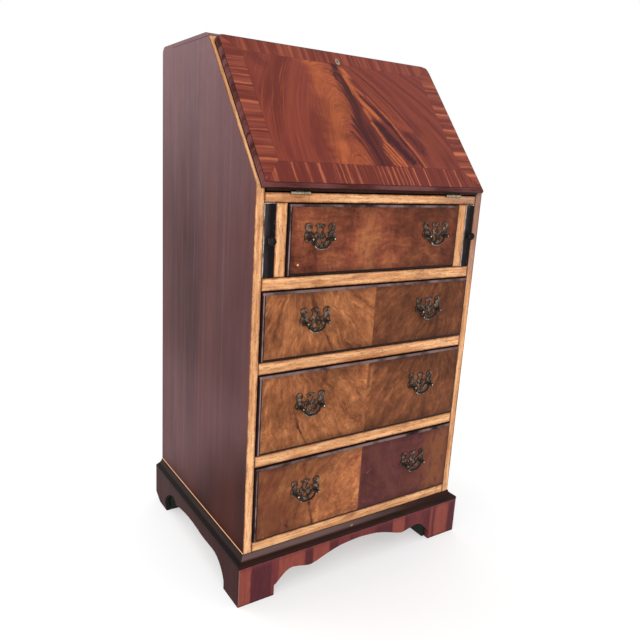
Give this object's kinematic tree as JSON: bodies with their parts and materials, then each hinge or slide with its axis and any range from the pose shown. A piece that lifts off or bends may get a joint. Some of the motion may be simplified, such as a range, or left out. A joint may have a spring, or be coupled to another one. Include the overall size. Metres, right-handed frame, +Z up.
{
  "type": "fall-front bureau",
  "caption": "Small sloping-front writing bureau on bracket feet: a hinged fall opens onto sliding lopers, above a stack of drawers with pierced plates and swan-neck bails.",
  "frame": {"origin": "floor level, at the middle of the footprint of the whole bureau", "axes": "+X to the right as seen from the front, +Y to the back, so the fall and drawers face -Y, +Z up"},
  "size_m": [0.54, 0.4352, 1],
  "materials": {
    "raw_wood": "stripped to bare wood, matt",
    "mahogany": "stained and polished mahogany, satin",
    "flame_veneer": "flame veneer with a crossbanded border, polished",
    "drawer_veneer": "book-matched crotch veneer, satin",
    "plinth_veneer": "reddish veneer, satin",
    "dark_moulding": "very dark stained moulding, polished",
    "ebonised_wood": "ebonised, satin",
    "secondary_pine": "plain pine, matt",
    "stained_block": "dark stained block, matt",
    "antique_brass": "antique brown-green patina",
    "bright_brass": "worn bright brass",
    "steel": "dull steel"
  },
  "bodies": {
    "carcase": {"back_board": "secondary_pine", "base_moulding_front": "dark_moulding", "base_moulding_left": "dark_moulding", "base_moulding_right": "dark_moulding", "bottom_board": "raw_wood", "divider_1": "raw_wood", "divider_2": "raw_wood", "divider_3": "raw_wood", "fitment_shelf": "mahogany", "fitment_upright": "mahogany", "foot_block_back_left": "stained_block", "foot_block_back_right": "stained_block", "foot_block_front_left": "stained_block", "foot_block_front_right": "stained_block", "hinge_fixed_left": "bright_brass", "hinge_fixed_right": "bright_brass", "partition_left": "raw_wood", "partition_right": "raw_wood", "plinth_front": "plinth_veneer", "plinth_left": "plinth_veneer", "plinth_right": "plinth_veneer", "side_left": "mahogany", "side_right": "mahogany", "top_board": "mahogany", "top_rail": "raw_wood", "writing_bed": "secondary_pine"},
    "fall": {"fall_board": "flame_veneer", "escutcheon": "bright_brass", "fall_lock": "steel", "hinge_moving_left": "bright_brass", "hinge_moving_right": "bright_brass"},
    "lock_bolt": {"lock_bolt": "bright_brass"},
    "loper_left": {"loper_left": "ebonised_wood", "loper_knob_left": "ebonised_wood"},
    "loper_right": {"loper_right": "ebonised_wood", "loper_knob_right": "ebonised_wood"},
    "drawer_1": {"drawer_front_1": "drawer_veneer", "drawer_box_1": "secondary_pine", "handle_plate_1_left": "antique_brass", "handle_plate_1_right": "antique_brass"},
    "bail_1_left": {"bail_1_left": "antique_brass"},
    "bail_1_right": {"bail_1_right": "antique_brass"},
    "drawer_2": {"drawer_front_2": "drawer_veneer", "drawer_box_2": "secondary_pine", "handle_plate_2_left": "antique_brass", "handle_plate_2_right": "antique_brass"},
    "bail_2_left": {"bail_2_left": "antique_brass"},
    "bail_2_right": {"bail_2_right": "antique_brass"},
    "drawer_3": {"drawer_front_3": "drawer_veneer", "drawer_box_3": "secondary_pine", "handle_plate_3_left": "antique_brass", "handle_plate_3_right": "antique_brass"},
    "bail_3_left": {"bail_3_left": "antique_brass"},
    "bail_3_right": {"bail_3_right": "antique_brass"},
    "drawer_4": {"drawer_front_4": "drawer_veneer", "drawer_box_4": "secondary_pine", "handle_plate_4_left": "antique_brass", "handle_plate_4_right": "antique_brass"},
    "bail_4_left": {"bail_4_left": "antique_brass"},
    "bail_4_right": {"bail_4_right": "antique_brass"}
  },
  "joints": [
    {"name": "fall_hinge", "type": "hinge", "parent": "carcase", "child": "fall", "pos_m": [0, -0.20025, 0.7396], "axis": [1, 0, 0], "range_deg": [0, 128.32]},
    {"name": "lock_bolt_slide", "type": "slide", "parent": "fall", "child": "lock_bolt", "axis": [0, 0.6201, 0.7845], "range_m": [0, 0.005]},
    {"name": "loper_slide_left", "type": "slide", "parent": "carcase", "child": "loper_left", "axis": [0, -1, 0], "range_m": [0, 0.22]},
    {"name": "loper_slide_right", "type": "slide", "parent": "carcase", "child": "loper_right", "axis": [0, -1, 0], "range_m": [0, 0.22]},
    {"name": "drawer_slide_1", "type": "slide", "parent": "carcase", "child": "drawer_1", "axis": [0, -1, 0], "range_m": [0, 0.26]},
    {"name": "drawer_slide_2", "type": "slide", "parent": "carcase", "child": "drawer_2", "axis": [0, -1, 0], "range_m": [0, 0.26]},
    {"name": "drawer_slide_3", "type": "slide", "parent": "carcase", "child": "drawer_3", "axis": [0, -1, 0], "range_m": [0, 0.26]},
    {"name": "drawer_slide_4", "type": "slide", "parent": "carcase", "child": "drawer_4", "axis": [0, -1, 0], "range_m": [0, 0.26]},
    {"name": "bail_pivot_1_left", "type": "hinge", "parent": "drawer_1", "child": "bail_1_left", "pos_m": [-0.132, -0.21385, 0.6651], "axis": [-1, 0, 0], "range_deg": [0, 85]},
    {"name": "bail_pivot_1_right", "type": "hinge", "parent": "drawer_1", "child": "bail_1_right", "pos_m": [0.132, -0.21385, 0.6651], "axis": [-1, 0, 0], "range_deg": [0, 85]},
    {"name": "bail_pivot_2_left", "type": "hinge", "parent": "drawer_2", "child": "bail_2_left", "pos_m": [-0.132, -0.21385, 0.5201], "axis": [-1, 0, 0], "range_deg": [0, 85]},
    {"name": "bail_pivot_2_right", "type": "hinge", "parent": "drawer_2", "child": "bail_2_right", "pos_m": [0.132, -0.21385, 0.5201], "axis": [-1, 0, 0], "range_deg": [0, 85]},
    {"name": "bail_pivot_3_left", "type": "hinge", "parent": "drawer_3", "child": "bail_3_left", "pos_m": [-0.132, -0.21385, 0.3647], "axis": [-1, 0, 0], "range_deg": [0, 85]},
    {"name": "bail_pivot_3_right", "type": "hinge", "parent": "drawer_3", "child": "bail_3_right", "pos_m": [0.132, -0.21385, 0.3647], "axis": [-1, 0, 0], "range_deg": [0, 85]},
    {"name": "bail_pivot_4_left", "type": "hinge", "parent": "drawer_4", "child": "bail_4_left", "pos_m": [-0.132, -0.21385, 0.1942], "axis": [-1, 0, 0], "range_deg": [0, 85]},
    {"name": "bail_pivot_4_right", "type": "hinge", "parent": "drawer_4", "child": "bail_4_right", "pos_m": [0.132, -0.21385, 0.1942], "axis": [-1, 0, 0], "range_deg": [0, 85]}
  ]
}
